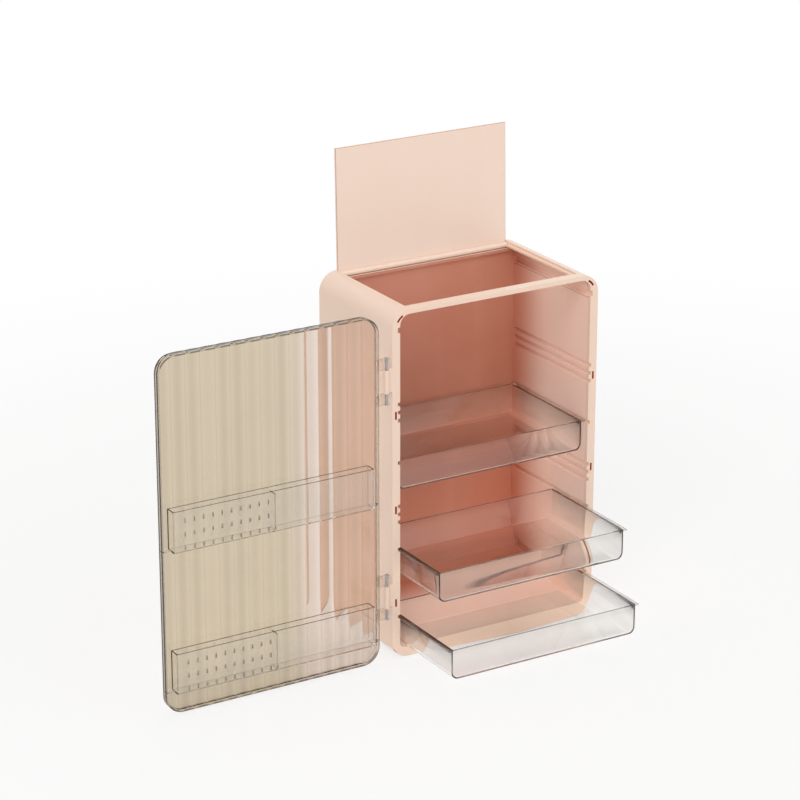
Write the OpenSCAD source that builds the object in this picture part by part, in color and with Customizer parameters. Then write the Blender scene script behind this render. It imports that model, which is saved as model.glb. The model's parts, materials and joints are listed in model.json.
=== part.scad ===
// Dustproof makeup organizer: a cabinet with a fluted see-through door that carries two pockets,
// a dust lid on top and three clear trays that slide in grooves of the inner walls.
// Millimetres. +X to the right, +Y to the back, +Z up.
// The origin is the centre of the base's underside. The pieces stand as in use: the door is
// swung right out, the lid is up, the middle and bottom trays are pulled.

/* [Cabinet] */
// Overall width of the cabinet
body_w = 268; // [240:1:320]
// Depth of the cabinet without the door
body_d = 160; // [140:1:200]
// Height of the cabinet
body_h = 410; // [396:1:460]
// Radius of the four long outer corners
corner_r = 22; // [18:0.5:24]
// Thickness of the outer side walls
wall_t = 3; // [2:0.2:4]
// Thickness of the back panel
back_t = 2.5; // [2:0.5:5]
// Height of the floor's upper face above the base's underside
floor_z = 12; // [10:0.5:13]
// Thickness of the floor panel
floor_t = 3; // [2:0.5:4]
// Thickness of the base cover's plate
base_t = 2.5; // [1.6:0.1:4]
// Height of the runner panels' top edge below the cabinet's top
runner_drop = 29; // [26:1:34]

/* [Front frame] */
// Width of the frame's side bars
frame_w = 10.3; // [9.5:0.1:13]
// Thickness of the frame, front to back
frame_t = 5; // [4:0.5:8]
// Height of the frame's top bar
top_bar_h = 6; // [5:0.5:7]
// Inner radius of the frame's upper corners
top_inner_r = 12; // [6:0.5:14]
// Inner radius of the frame's lower corners
bottom_inner_r = 6; // [2:0.5:9]
// Inset of the snap slots from the frame's outer side
slot_inset = 4.7; // [4:0.1:6]
// Width of a snap slot
slot_w = 2.2; // [1.4:0.1:3]
// Length of a snap slot
slot_len = 9; // [5:0.5:14]
// Height of the highest straight snap slot
slot_top_z = 290; // [240:1:330]
// Distance from slot to slot up a side bar
slot_pitch = 111; // [80:1:112]

/* [Lid] */
// Thickness of the lid plate
lid_t = 3; // [2:0.2:4]
// Gap between the cabinet's side and the lid's edge, seen from above
lid_inset = 22.5; // [21.5:0.5:30]
// Distance from the cabinet's front to the closed lid's front edge
lid_front = 11; // [9:0.5:14]
// Width of the seat that the closed lid rests on along its sides
lid_seat = 2.4; // [1.5:0.1:6]
// Distance from the cabinet's front to the opening's front edge
opening_front = 19.7; // [17:0.1:30]
// Radius of the lid's hinge barrel
barrel_r = 3; // [2.5:0.1:3.2]
// Height of the barrel's axis below the cabinet's top
barrel_drop = 4.4; // [4.3:0.1:4.8]
// Distance of the barrel's axis from the cabinet's back
barrel_back = 4.6; // [4.5:0.1:6]
// Radius of the lid's pins
lid_pin_r = 1.5; // [1:0.1:1.6]
// Length of a lid pin inside the lid, and again inside the side panel
lid_pin_reach = 7; // [5:0.5:8]
// Lean of the open lid past upright, in degrees
lid_lean = 1.5; // [0:0.5:4]
// How far the rear rail under the lid's barrel hangs below the frame's top bar
rear_rail_drop = 6; // [4:0.5:7]

/* [Door] */
// Gap between the door's outline and the cabinet's, all round
door_inset = 1.5; // [0.5:0.1:3]
// Depth of the door from its rim to its outer face
door_t = 10; // [8:0.5:14]
// Thickness of the door's rim wall
rim_t = 2; // [1.4:0.1:3]
// Thickness of the door's panel under the flutes
panel_t = 1.6; // [1.2:0.1:3]
// How far the flutes stand out of the panel
flute_h = 0.9; // [0.4:0.1:1.4]
// Number of flutes across the door
flute_count = 15; // [9:1:21]
// Air between the closed door's rim and the front frame
door_gap = 0.5; // [0.3:0.1:1]
// Distance of the hinge axis from the cabinet's side
hinge_out = 7.85; // [7:0.05:9.5]
// Distance of the hinge axis in front of the frame
hinge_fore = 1; // [0.8:0.1:1.6]
// Radius of the door's hinge lugs
lug_r = 3.9; // [3.2:0.1:4.2]
// Height of one hinge lug
lug_h = 12.5; // [8:0.5:16]
// Height of the cabinet's knuckle between two lugs
knuckle_h = 27; // [16:1:40]
// Radius of the cabinet's knuckle
knuckle_r = 3.2; // [2.8:0.1:4]
// Radius of the door's hinge pins
hinge_pin_r = 1.5; // [1:0.1:1.8]
// Radius of a hinge pin's head
pin_head_r = 2.5; // [2.2:0.1:3]
// Thickness of a hinge pin's head
pin_head_t = 1.2; // [0.8:0.1:1.6]
// Distance of each hinge's middle from the cabinet's top or base
hinge_end = 78; // [50:1:120]

/* [Door pockets] */
// Height of the upper pocket's underside
upper_pocket_z = 190; // [150:1:240]
// Height of the lower pocket's underside
lower_pocket_z = 26.5; // [14:0.5:80]
// Height of a pocket
pocket_h = 47; // [36:1:60]
// Wall thickness of a pocket
pocket_t = 1.6; // [1.2:0.1:2]
// How far a pocket stands past the closed door's rim, into the cabinet
pocket_proud = 7; // [5:0.1:7]
// Gap between a pocket's end and the frame's side bar as the door closes
pocket_end_gap = 1.3; // [1:0.1:6]
// Thickness of a pocket divider
divider_t = 1.6; // [1:0.1:3]
// Distance from earring slit to earring slit
slit_pitch = 11.1; // [8:0.1:16]
// Width of an earring slit
slit_w = 1.2; // [0.8:0.1:2]
// Height of an earring slit
slit_h = 4.6; // [2:0.1:6]

/* [Trays] */
// Height of the bottom tray's rim
bottom_rim_z = 50; // [49.5:0.1:52]
// Height of the middle tray's rim
middle_rim_z = 131.3; // [122:0.1:136]
// Height of the top tray's rim
top_rim_z = 233.8; // [226:0.1:240]
// Height of a tray
tray_h = 36; // [26:0.5:36]
// Wall thickness of a tray
tray_t = 2; // [1.5:0.1:2.5]
// Radius of a tray's two long lower corners
tray_r = 9; // [4:0.5:14]
// Width of a tray's side flange
flange_w = 4.2; // [3.4:0.1:4.4]
// Thickness of a tray's side flange
flange_t = 2; // [1.2:0.1:3]
// Gap between a tray's side wall and the runner panel
tray_side_gap = 2.2; // [1.6:0.1:2.6]
// Distance of a closed tray's front behind the frame's face
tray_front_gap = 8.25; // [7.8:0.05:14]
// Air behind a closed tray
tray_back_gap = 3.2; // [2:0.1:8]
// How far the middle tray stands out of its closed place
middle_pull = 88; // [0:1:110]
// How far the bottom tray stands out of its closed place
bottom_pull = 115; // [0:1:115]

/* [Grooves] */
// Depth of a groove in the runner panel
groove_depth = 2.9; // [2.8:0.1:3.6]
// Height of a groove
groove_h = 4.4; // [4:0.1:5]
// Rim height that the lowest spare groove of the lower set would give a tray
spare_low_z = 164; // [160:0.5:172]
// Rim height that the lowest spare groove of the upper set would give a tray
spare_high_z = 283.5; // [270:0.5:310]
// Distance from spare groove to spare groove
spare_pitch = 9.3; // [8:0.1:12]
// Height of the wide groove near the frame's top
mouth_h = 6.5; // [4:0.5:7]
// Height of the wide groove's floor over the top of the runner panel's recess
mouth_rise = 2; // [1:0.5:2.5]

/* [Feet and screws] */
// Radius of a foot pad
foot_r = 8; // [5:0.5:10]
// Thickness of a foot pad
foot_t = 2; // [1.2:0.1:2.2]
// How far a foot pad stands out of the base
foot_proud = 0.5; // [0.3:0.1:1]
// Distance of a foot pad's edge from the start of the round corner beside it
foot_side = 4; // [3:0.5:8]
// Distance of a foot pad's edge from the cabinet's front and back
foot_end = 7; // [6:0.5:12]
// Thickness of a rib under the floor
rib_t = 2.4; // [1.6:0.1:3]
// Wall round a foot pad and round a screw's head in the base
boss_t = 2; // [1.2:0.1:2.4]
// Distance between a foot pad's middle and the base screw beside it
base_screw_in = 36; // [28:1:48]
// Distance of the highest and lowest back screw from the runner panel's ends
back_screw_end = 18; // [12:1:24]
// Floor left over a base screw's hole
floor_skin = 1; // [0.8:0.1:1.4]
// Radius of a screw's shank
screw_r = 1.4; // [1:0.1:1.5]
// Length of a screw under its head
screw_len = 12; // [8:1:16]
// Radius of a screw's head
screw_head_r = 2.8; // [2.2:0.1:3]
// Thickness of a screw's head
screw_head_t = 1.4; // [1:0.1:1.6]

/* [Hidden] */
$fn = 64;

shell_pink = [0.91, 0.80, 0.75];
inner_pink = [0.86, 0.64, 0.56];
lid_pink = [0.92, 0.82, 0.76];
smoke = [0.80, 0.74, 0.66, 0.45];
clear = [0.90, 0.91, 0.90, 0.35];
steel = [0.75, 0.75, 0.76];
rubber = [0.25, 0.23, 0.22];

// Clearances and overlaps used all over
run_gap = 0.1;      // radial air round a turning pin
fit_gap = 0.05;     // air round a screw, a pad and a fitted bar
slide_gap = 0.2;    // air under a sliding or turning piece
seam_gap = 0.8;     // shadow line over the runner panel
skirt_proud = 0.5;  // how far the soffit stands in front of the runner panel
join = 1;           // how far two shapes of one solid run into each other
cut = 1;            // how far a cutting shape runs past a face

// The cabinet's outer limits
left = -body_w / 2;
right = body_w / 2;
front = -body_d / 2;
back = body_d / 2;

// The inner walls
runner_left = left + frame_w;
runner_top = body_h - runner_drop;
inner_back = back - back_t;
frame_back = front + frame_t;
top_under = body_h - top_bar_h;

// The lid opening, its seat and its hinge
lid_gap = 0.3;
lid_side = body_w / 2 - lid_inset;
opening_side = lid_side - lid_seat;
seat_z = body_h - lid_t - slide_gap;
axis_y = back - barrel_back;
axis_z = body_h - barrel_drop;
lid_tail = 3.5;     // how far the plate runs behind the barrel's axis, as its stop
opening_y = front + opening_front;
lid_front_y = front + lid_front;
lid_turn = 90 + lid_lean;
// The open lid's tail comes down to just above the rear rail
tail_drop = lid_tail * sin(lid_turn) - barrel_drop * cos(lid_turn);
rear_rail_top = axis_z - max(tail_drop, barrel_r) - run_gap;
rear_rail_front = axis_y - barrel_r - slide_gap;
rail_under = top_under - rear_rail_drop;

// The door, in its closed place
door_left = left + door_inset;
door_w = body_w - 2 * door_inset;
door_low = door_inset;
door_h = body_h - 2 * door_inset;
door_r = corner_r - door_inset;
rim_y = front - door_gap;
face_y = rim_y - door_t;
panel_in_y = face_y + flute_h + panel_t;
flute_pitch = door_w / flute_count;
// Radius of the circle whose arc has the flute's chord and height
flute_arc_r = (pow(flute_pitch / 2, 2) + pow(flute_h, 2)) / (2 * flute_h);
hinge_x = left - hinge_out;
hinge_y = front - hinge_fore;
hinge_z = [hinge_end, body_h - hinge_end];
door_turn = -180;

// The pockets, in the closed door
pocket_x = frame_w + pocket_end_gap - body_w / 2;
pocket_w = -2 * pocket_x;
pocket_front = rim_y + pocket_proud;
pocket_d = pocket_front - panel_in_y;
slit_first = 0.8 * slit_pitch;
slit_count = 1 + floor((pocket_w / 2 - pocket_t - slit_first) / slit_pitch - 0.5);
slit_rows = [0.10, 0.43, 0.76];     // heights of the slits' middles, as shares of a pocket's
divider_low = 4;    // how far a divider's top edge lies below the pocket's rim

// The trays
tray_side = body_w / 2 - frame_w - tray_side_gap;
tray_front = front + tray_front_gap;
tray_d = inner_back - tray_back_gap - tray_front;
spare_rims = [for (low = [spare_low_z, spare_high_z], k = [0 : 2]) low + k * spare_pitch];
groove_rims = concat([bottom_rim_z, middle_rim_z, top_rim_z], spare_rims);
groove_end = tray_front + tray_d + 2 * slide_gap;
mouth_z = runner_top + seam_gap + mouth_rise;

// The feet and screws
foot_x = body_w / 2 - corner_r - foot_r - foot_side;
foot_y = body_d / 2 - foot_r - foot_end;
base_screw_x = foot_x - base_screw_in;
screw_x = (wall_t + frame_w) / 2 + left;
// The middle back screw sits halfway between the top tray's groove and the spare ones below it
back_screw_z = [
    floor_z + back_screw_end,
    (spare_low_z + 2 * spare_pitch + top_rim_z) / 2,
    runner_top - back_screw_end,
];
tip_gap = 0.5;      // air over a base screw's tip
head_room = screw_head_t + slide_gap;   // depth of the recess for a base screw's head

// ---- helpers ----

// A plate upright across the cabinet: the child's x is X and its y is Z
module across(y, t) {
    translate([0, y + t, 0]) rotate([90, 0, 0]) linear_extrude(t) children();
}

// A rectangle centred on x = 0 and standing on y = low, with a lower and an upper corner radius
module rounded_rect(w, low, high, r_low, r_high) {
    for (side = [-1, 1]) {
        translate([side * (w / 2 - r_low), low + r_low]) circle(r_low);
        translate([side * (w / 2 - r_high), high - r_high]) circle(r_high);
    }
    translate([-w / 2 + r_low, low]) square([w - 2 * r_low, high - low - r_high]);
    translate([-w / 2 + r_high, low + r_low]) square([w - 2 * r_high, high - low - r_low]);
    translate([-w / 2, low + r_low]) square([w, high - low - r_low - r_high]);
}

// A rectangle centred on x = 0 whose two lower corners are round
module round_footed(w, low, high, r) {
    for (side = [-1, 1]) translate([side * (w / 2 - r), low + r]) circle(r);
    translate([-w / 2 + r, low]) square([w - 2 * r, r]);
    translate([-w / 2, low + r]) square([w, high - low - r]);
}

module outline() rounded_rect(body_w, 0, body_h, corner_r, corner_r);

module door_outline(inset)
    rounded_rect(door_w - 2 * inset, door_low + inset, door_low + door_h - inset,
                 door_r - inset, door_r - inset);

// The room between the curved soffits over the runner panels, less a gap
module room_outline(gap)
    rounded_rect(body_w - 2 * (frame_w + skirt_proud + gap), floor_z, top_under - gap,
                 bottom_inner_r, top_inner_r);

// A round rod along X
module rod_x(x, y, z, r, length) {
    translate([x, y, z]) rotate([0, 90, 0]) cylinder(r = r, h = length);
}

// A self-tapping screw: its head's underside is at z = 0 and its shank points up
module screw(length) {
    translate([0, 0, -screw_head_t]) cylinder(r = screw_head_r, h = screw_head_t);
    cylinder(r = screw_r, h = length);
}

// Swings a closed door piece right out about the hinge axis
module swung() {
    translate([hinge_x, hinge_y, 0]) rotate([0, 0, door_turn]) translate([-hinge_x, -hinge_y, 0])
        children();
}

// ---- cabinet ----

// Section of the left wall: outer arcs, a recess for the runner panel, a curved soffit that
// meets the frame's inner corner, and a strip of the top with the lid's seat
module side_section() {
    difference() {
        intersection() {
            outline();
            union() {
                translate([left - cut, -cut]) square([cut + corner_r, floor_z + cut]);
                translate([left - cut, 0]) square([cut + body_w / 2 - opening_side, body_h + cut]);
            }
        }
        // recess behind the runner panel
        translate([left + wall_t, floor_z]) square([body_w, runner_top + seam_gap - floor_z]);
        // room above the runner panel, with a round upper corner
        intersection() {
            room_outline(0);
            translate([left, floor_z]) square([body_w, body_h]);
        }
        translate([left + corner_r, -cut]) square([body_w, floor_z + 2 * cut]);
    }
}

module side_panel() {
    difference() {
        union() {
            across(frame_back, body_d - frame_t) side_section();
            // the lid pin's bearing, over the rear rail's end
            translate([runner_left, rear_rail_front, rear_rail_top])
                cube([-lid_side - lid_gap - runner_left, back - rear_rail_front,
                      top_under + join - rear_rail_top]);
        }
        // the lid's seat
        translate([-lid_side - lid_gap, lid_front_y - lid_gap, seat_z])
            cube([body_w, body_d, body_h]);
        // the wide groove under the soffit
        translate([runner_left - groove_depth, frame_back - cut, mouth_z])
            cube([body_w, groove_end - frame_back + cut, mouth_h]);
        // the lid pin's bore
        rod_x(-lid_side - lid_gap - lid_pin_reach, axis_y, axis_z, lid_pin_r + run_gap,
              lid_pin_reach + cut);
        // the barrel's room
        translate([-lid_side - lid_gap, rear_rail_front, rail_under - cut])
            cube([body_w, body_d, body_h]);
    }
}

module left_side_panel() { color(shell_pink) side_panel(); }
module right_side_panel() { color(shell_pink) mirror([1, 0, 0]) side_panel(); }

// The inner wall: a plate with a groove for each tray height
module runner_panel() {
    difference() {
        translate([left + wall_t, frame_back, floor_z])
            cube([frame_w - wall_t, inner_back - frame_back, runner_top - floor_z]);
        for (rim = groove_rims)
            translate([runner_left - groove_depth, frame_back - cut, groove_floor(rim)])
                cube([groove_depth + cut, groove_end - frame_back + cut, groove_h]);
        for (z = back_screw_z)
            translate([screw_x, inner_back - screw_len, z]) rotate([-90, 0, 0])
                cylinder(r = screw_r + fit_gap, h = screw_len + cut);
    }
}

function groove_floor(rim) = rim - flange_t - slide_gap;

module left_runner_panel() { color(inner_pink) runner_panel(); }
module right_runner_panel() { color(inner_pink) mirror([1, 0, 0]) runner_panel(); }

module back_panel() {
    color(shell_pink) difference() {
        across(inner_back, back_t) {
            translate([left + wall_t, floor_z])
                square([body_w - 2 * wall_t, runner_top + seam_gap - floor_z]);
            intersection() {
                room_outline(fit_gap);
                translate([left, runner_top]) square([body_w, rail_under - runner_top]);
            }
        }
        for (side = [-1, 1], z = back_screw_z)
            translate([side * screw_x, inner_back - cut, z]) rotate([-90, 0, 0])
                cylinder(r = screw_r + fit_gap, h = back_t + 2 * cut);
    }
}

// Puts a copy at each of four places in a rectangle round the base's middle
module four(x, y) {
    for (sx = [-1, 1], sy = [-1, 1]) translate([sx * x, sy * y, 0]) children();
}

module floor_panel() {
    color(inner_pink) difference() {
        translate([left + corner_r, frame_back, floor_z - floor_t])
            cube([body_w - 2 * corner_r, body_d - frame_t, floor_t]);
        four(base_screw_x, foot_y)
            cylinder(r = screw_r + fit_gap, h = floor_z - floor_skin);
    }
}

// The base under the floor: a plate with ribs that carry the floor
module base_cover() {
    rib_count = 6;
    span = body_w - 2 * corner_r;
    rib_h = floor_z - floor_t;
    color(shell_pink) difference() {
        union() {
            translate([left + corner_r, frame_back, 0]) cube([span, body_d - frame_t, base_t]);
            for (i = [0 : rib_count - 1])
                translate([left + corner_r + i * (span - rib_t) / (rib_count - 1), frame_back, 0])
                    cube([rib_t, body_d - frame_t, rib_h]);
            four(foot_x, foot_y) cylinder(r = foot_r + boss_t, h = rib_h);
            four(base_screw_x, foot_y) cylinder(r = screw_head_r + boss_t, h = rib_h);
        }
        four(foot_x, foot_y) translate([0, 0, -cut])
            cylinder(r = foot_r + fit_gap, h = cut + foot_t - foot_proud);
        four(base_screw_x, foot_y) {
            translate([0, 0, -cut]) cylinder(r = screw_head_r + fit_gap, h = cut + head_room);
            cylinder(r = screw_r + fit_gap, h = floor_z);
        }
    }
}

module feet() {
    color(rubber) four(foot_x, foot_y) translate([0, 0, -foot_proud])
        cylinder(r = foot_r, h = foot_t);
}

module base_screws() {
    color(steel) four(base_screw_x, foot_y) translate([0, 0, head_room])
        screw(floor_z - floor_skin - tip_gap - head_room);
}

module back_screws() {
    color(steel) for (side = [-1, 1], z = back_screw_z)
        translate([side * screw_x, back, z]) rotate([90, 0, 0]) screw(screw_len);
}

module top_front_rail() {
    color(shell_pink) difference() {
        translate([-opening_side, frame_back, top_under])
            cube([2 * opening_side, opening_y - frame_back, top_bar_h]);
        translate([-body_w, lid_front_y - lid_gap, seat_z]) cube([2 * body_w, body_d, body_h]);
    }
}

// The bar under the lid's barrel. Its ends follow the curved soffits
module top_rear_rail() {
    color(shell_pink) across(rear_rail_front, back - rear_rail_front) intersection() {
        room_outline(fit_gap);
        translate([left, rail_under]) square([body_w, rear_rail_top - rail_under]);
    }
}

// The bezel, with its snap slots, the mouths of the grooves and the hinge knuckles
module front_frame() {
    color(shell_pink) difference() {
        union() {
            across(front, frame_t) difference() {
                outline();
                rounded_rect(body_w - 2 * frame_w, floor_z, top_under,
                             bottom_inner_r, top_inner_r);
            }
            for (z = hinge_z) frame_knuckle(z);
        }
        for (side = [0, 1]) mirror([side, 0, 0]) {
            for (i = [0 : 2])
                translate([left + slot_inset - slot_w / 2, front - cut,
                           slot_top_z - i * slot_pitch - slot_len / 2])
                    cube([slot_w, frame_t + 2 * cut, slot_len]);
            corner_slot();
            for (rim = groove_rims) frame_mouth(groove_floor(rim), groove_h);
            frame_mouth(mouth_z, mouth_h);
        }
        for (z = hinge_z) translate([hinge_x, hinge_y, z - knuckle_h])
            cylinder(r = hinge_pin_r + run_gap, h = 2 * knuckle_h);
    }
}

module frame_mouth(z, h) {
    translate([runner_left - groove_depth, front - cut, z])
        cube([groove_depth + cut, frame_t + 2 * cut, h]);
}

// A curved slot that runs round an upper corner at the straight slots' inset
module corner_slot() {
    mid_r = corner_r - slot_inset;
    half_angle = slot_len / mid_r / 2 * 180 / PI;
    across(front - cut, frame_t + 2 * cut) translate([left + corner_r, body_h - corner_r])
        intersection() {
            difference() {
                circle(mid_r + slot_w / 2);
                circle(mid_r - slot_w / 2);
            }
            rotate(135) polygon([
                [0, 0],
                corner_r * [cos(half_angle), -sin(half_angle)],
                corner_r * [cos(half_angle), sin(half_angle)],
            ]);
        }
}

// One of the cabinet's knuckles, on a web that joins the bezel's side
module frame_knuckle(z) {
    translate([hinge_x, hinge_y, z - knuckle_h / 2]) {
        cylinder(r = knuckle_r, h = knuckle_h);
        translate([0, hinge_fore, 0]) cube([hinge_out + join, frame_t / 2, knuckle_h]);
    }
}

// ---- lid ----

// Lifts a closed lid about the barrel's axis
module lifted() {
    translate([0, axis_y, axis_z]) rotate([-lid_turn, 0, 0]) translate([0, -axis_y, -axis_z])
        children();
}

module lid() {
    color(lid_pink) lifted() difference() {
        union() {
            translate([-lid_side, lid_front_y, body_h - lid_t])
                cube([2 * lid_side, axis_y + lid_tail - lid_front_y, lid_t]);
            rod_x(-lid_side, axis_y, axis_z, barrel_r, 2 * lid_side);
        }
        for (side = [0, 1]) mirror([side, 0, 0])
            rod_x(-lid_side - cut, axis_y, axis_z, lid_pin_r + fit_gap, lid_pin_reach + cut);
    }
}

module lid_pins() {
    color(steel) for (side = [0, 1]) mirror([side, 0, 0])
        rod_x(slide_gap - lid_side - lid_gap - lid_pin_reach, axis_y, axis_z, lid_pin_r,
              2 * lid_pin_reach + lid_gap - 2 * slide_gap);
}

// ---- door, drawn closed and swung out ----

// Height of the panel's face over its valleys, at a share of a flute's width from its middle
function flute_rise(share) =
    sqrt(pow(flute_arc_r, 2) - pow(share * flute_pitch, 2)) - flute_arc_r + flute_h;

// Section of the door as one block, seen from above, with its outer face in shallow arcs
module flute_section() {
    steps = 6;
    polygon([
        [door_left, rim_y],
        for (i = [0 : flute_count - 1], k = [0 : steps - 1])
            [door_left + (i + k / steps) * flute_pitch,
             face_y + flute_h - flute_rise(k / steps - 0.5)],
        [door_left + door_w, face_y + flute_h],
        [door_left + door_w, rim_y],
    ]);
}

module door_lug(z) {
    translate([hinge_x, hinge_y, z]) {
        cylinder(r = lug_r, h = lug_h);
        translate([0, -lug_r, 0])
            cube([hinge_out + door_inset + join, lug_r + hinge_fore - door_gap, lug_h]);
    }
}

// Heights of the undersides of a hinge's two lugs, over and under the cabinet's knuckle
function lug_lows(z) = [z + knuckle_h / 2 + slide_gap, z - knuckle_h / 2 - slide_gap - lug_h];

module door() {
    color(smoke) swung() difference() {
        union() {
            difference() {
                linear_extrude(body_h) flute_section();
                // outside the door's outline, and the hollow inside its rim
                across(face_y - cut, door_t + 2 * cut) difference() {
                    translate([-body_w, -body_h]) square([2 * body_w, 3 * body_h]);
                    door_outline(0);
                }
                across(panel_in_y, door_t) door_outline(rim_t);
            }
            for (z = hinge_z, low = lug_lows(z)) door_lug(low);
        }
        for (z = hinge_z) translate([hinge_x, hinge_y, z - knuckle_h - lug_h])
            cylinder(r = hinge_pin_r + run_gap, h = 2 * (knuckle_h + lug_h));
    }
}

module hinge_pins() {
    reach = knuckle_h / 2 + slide_gap + lug_h;
    color(steel) for (z = hinge_z) translate([hinge_x, hinge_y, z]) {
        translate([0, 0, -reach]) cylinder(r = hinge_pin_r, h = 2 * reach + slide_gap);
        translate([0, 0, reach + slide_gap]) cylinder(r = pin_head_r, h = pin_head_t);
    }
}

// A trough on the door's inner side, with earring slits in the half away from the hinge
module pocket(z) {
    ear_left = door_left + rim_t;
    color(clear) swung() {
        difference() {
            translate([pocket_x, panel_in_y, z]) cube([pocket_w, pocket_d, pocket_h]);
            translate([pocket_x + pocket_t, panel_in_y + pocket_t, z + pocket_t])
                cube([pocket_w - 2 * pocket_t, pocket_d - 2 * pocket_t, pocket_h]);
            for (i = [0 : slit_count - 1], share = slit_rows)
                translate([slit_first + i * slit_pitch - slit_w / 2, pocket_front - pocket_t - cut,
                           z + share * pocket_h - slit_h / 2])
                    cube([slit_w, pocket_t + 2 * cut, slit_h]);
        }
        // ears that reach the door's rim
        for (side = [0, 1]) mirror([side, 0, 0])
            translate([ear_left, panel_in_y, z])
                cube([pocket_x - ear_left + pocket_t / 2, rim_y - panel_in_y - door_gap, pocket_t]);
    }
}

module upper_pocket() { pocket(upper_pocket_z); }
module lower_pocket() { pocket(lower_pocket_z); }

module divider(z) {
    color(clear) swung()
        translate([-divider_t / 2, panel_in_y + pocket_t + slide_gap, z + pocket_t])
            cube([divider_t, pocket_d - 2 * pocket_t - 2 * slide_gap,
                  pocket_h - pocket_t - divider_low]);
}

module upper_divider() { divider(upper_pocket_z); }
module lower_divider() { divider(lower_pocket_z); }

// ---- trays ----

module tray(rim_z, pull) {
    low = rim_z - tray_h;
    color(clear) translate([0, -pull, 0]) {
        difference() {
            across(tray_front, tray_d) round_footed(2 * tray_side, low, rim_z, tray_r);
            across(tray_front + tray_t, tray_d - 2 * tray_t)
                round_footed(2 * (tray_side - tray_t), low + tray_t, rim_z + cut,
                             tray_r - tray_t);
        }
        for (side = [0, 1]) mirror([side, 0, 0])
            translate([tray_side - tray_t / 2, tray_front, rim_z - flange_t])
                cube([flange_w + tray_t / 2, tray_d, flange_t]);
    }
}

module top_tray() { tray(top_rim_z, 0); }
module middle_tray() { tray(middle_rim_z, middle_pull); }
module bottom_tray() { tray(bottom_rim_z, bottom_pull); }

left_side_panel();
right_side_panel();
left_runner_panel();
right_runner_panel();
back_panel();
floor_panel();
base_cover();
top_front_rail();
top_rear_rail();
front_frame();
feet();
back_screws();
base_screws();
lid();
lid_pins();
hinge_pins();
door();
upper_pocket();
lower_pocket();
upper_divider();
lower_divider();
top_tray();
middle_tray();
bottom_tray();
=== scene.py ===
"""Looks of the makeup organizer: moulded pink cabinet and lid, smoked fluted door, clear trays."""

import json
from functools import cached_property
from math import pi, radians

import bmesh
import bpy
import numpy as np
from bpy.props import FloatProperty, FloatVectorProperty, IntProperty, PointerProperty
from bpy.types import Operator, Panel, PropertyGroup
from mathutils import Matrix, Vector
from mathutils.geometry import delaunay_2d_cdt


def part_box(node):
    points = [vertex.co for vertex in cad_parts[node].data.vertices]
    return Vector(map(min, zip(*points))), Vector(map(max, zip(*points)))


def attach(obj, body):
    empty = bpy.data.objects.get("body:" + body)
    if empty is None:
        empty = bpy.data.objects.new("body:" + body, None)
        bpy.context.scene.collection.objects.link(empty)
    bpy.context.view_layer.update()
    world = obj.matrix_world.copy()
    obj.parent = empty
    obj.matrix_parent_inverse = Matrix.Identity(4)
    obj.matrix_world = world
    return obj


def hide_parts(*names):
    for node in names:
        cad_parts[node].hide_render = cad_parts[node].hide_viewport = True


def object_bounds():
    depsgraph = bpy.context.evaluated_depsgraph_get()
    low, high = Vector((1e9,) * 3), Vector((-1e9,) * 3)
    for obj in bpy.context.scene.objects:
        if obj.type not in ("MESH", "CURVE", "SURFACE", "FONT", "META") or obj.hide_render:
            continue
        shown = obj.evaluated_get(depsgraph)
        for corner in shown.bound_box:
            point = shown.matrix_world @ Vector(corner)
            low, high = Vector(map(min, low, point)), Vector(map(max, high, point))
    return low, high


bl_info = {
    "name": "Makeup Organizer Looks",
    "version": (1, 0, 0),
    "blender": (4, 5, 0),
    "location": "3D View > Sidebar > Organizer",
    "description": "Finishes a makeup organizer: moulded cabinet, smoked door and clear trays",
    "category": "Object",
}

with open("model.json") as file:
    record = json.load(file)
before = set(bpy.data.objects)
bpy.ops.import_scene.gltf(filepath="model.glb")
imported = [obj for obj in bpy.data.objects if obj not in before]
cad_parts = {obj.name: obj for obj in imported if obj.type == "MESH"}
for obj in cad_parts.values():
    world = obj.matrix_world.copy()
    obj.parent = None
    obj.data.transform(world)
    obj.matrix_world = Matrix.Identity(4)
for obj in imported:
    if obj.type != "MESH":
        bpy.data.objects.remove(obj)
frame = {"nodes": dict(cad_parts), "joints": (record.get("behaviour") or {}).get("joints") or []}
CAD_BOX = [[float(v) for v in corner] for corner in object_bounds()]
HINGE = next(joint["pos_m"] for joint in frame["joints"] if joint["name"] == "door_swing")
# The closed door: its far side's x, its near side's x and the y of its rim, which lies in front
# of the frame's rear
RIM_BEFORE_REAR = 0.0055
DOOR_FAR = 2 * HINGE[0] - float(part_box("door")[0].x)
DOOR_NEAR = -DOOR_FAR
DOOR_RIM = float(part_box("front_frame")[1].y) - RIM_BEFORE_REAR
# Undersides of the two hinge lugs on each pin. A pair reaches LUG_SPAN up the pin from its end.
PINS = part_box("hinge_pins")
LUG_HEIGHT = 0.0125
LUG_SPAN = 0.0524
PIN_LENGTH = 0.0538
LUG_LOWS = [float(low) for end in (PINS[0].z, PINS[1].z - PIN_LENGTH)
            for low in (end, end + LUG_SPAN - LUG_HEIGHT)]
# The y of the back panel's inner face
ROOM_BACK = float(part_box("back_panel")[0].y)
# Faces that meet at more than SHARP have an edge, and at less than FLAT they lie in one plane
SHARP = radians(32)
FLAT = 0.002
# Distance within which a point counts as in a plane
TOUCH = 1e-5
PLASTIC_IOR = 1.49


def from_screen(red, green, blue):
    """Linear colour of a screen colour given in 0 to 255."""
    part = np.array([red, green, blue]) / 255
    linear = np.where(part <= 0.04045, part / 12.92, ((part + 0.055) / 1.055) ** 2.4)
    return tuple(float(v) for v in linear)


def length(name, description, default):
    return FloatProperty(name=name, description=description, default=default, unit="LENGTH",
                         precision=5, min=0.0)


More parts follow.
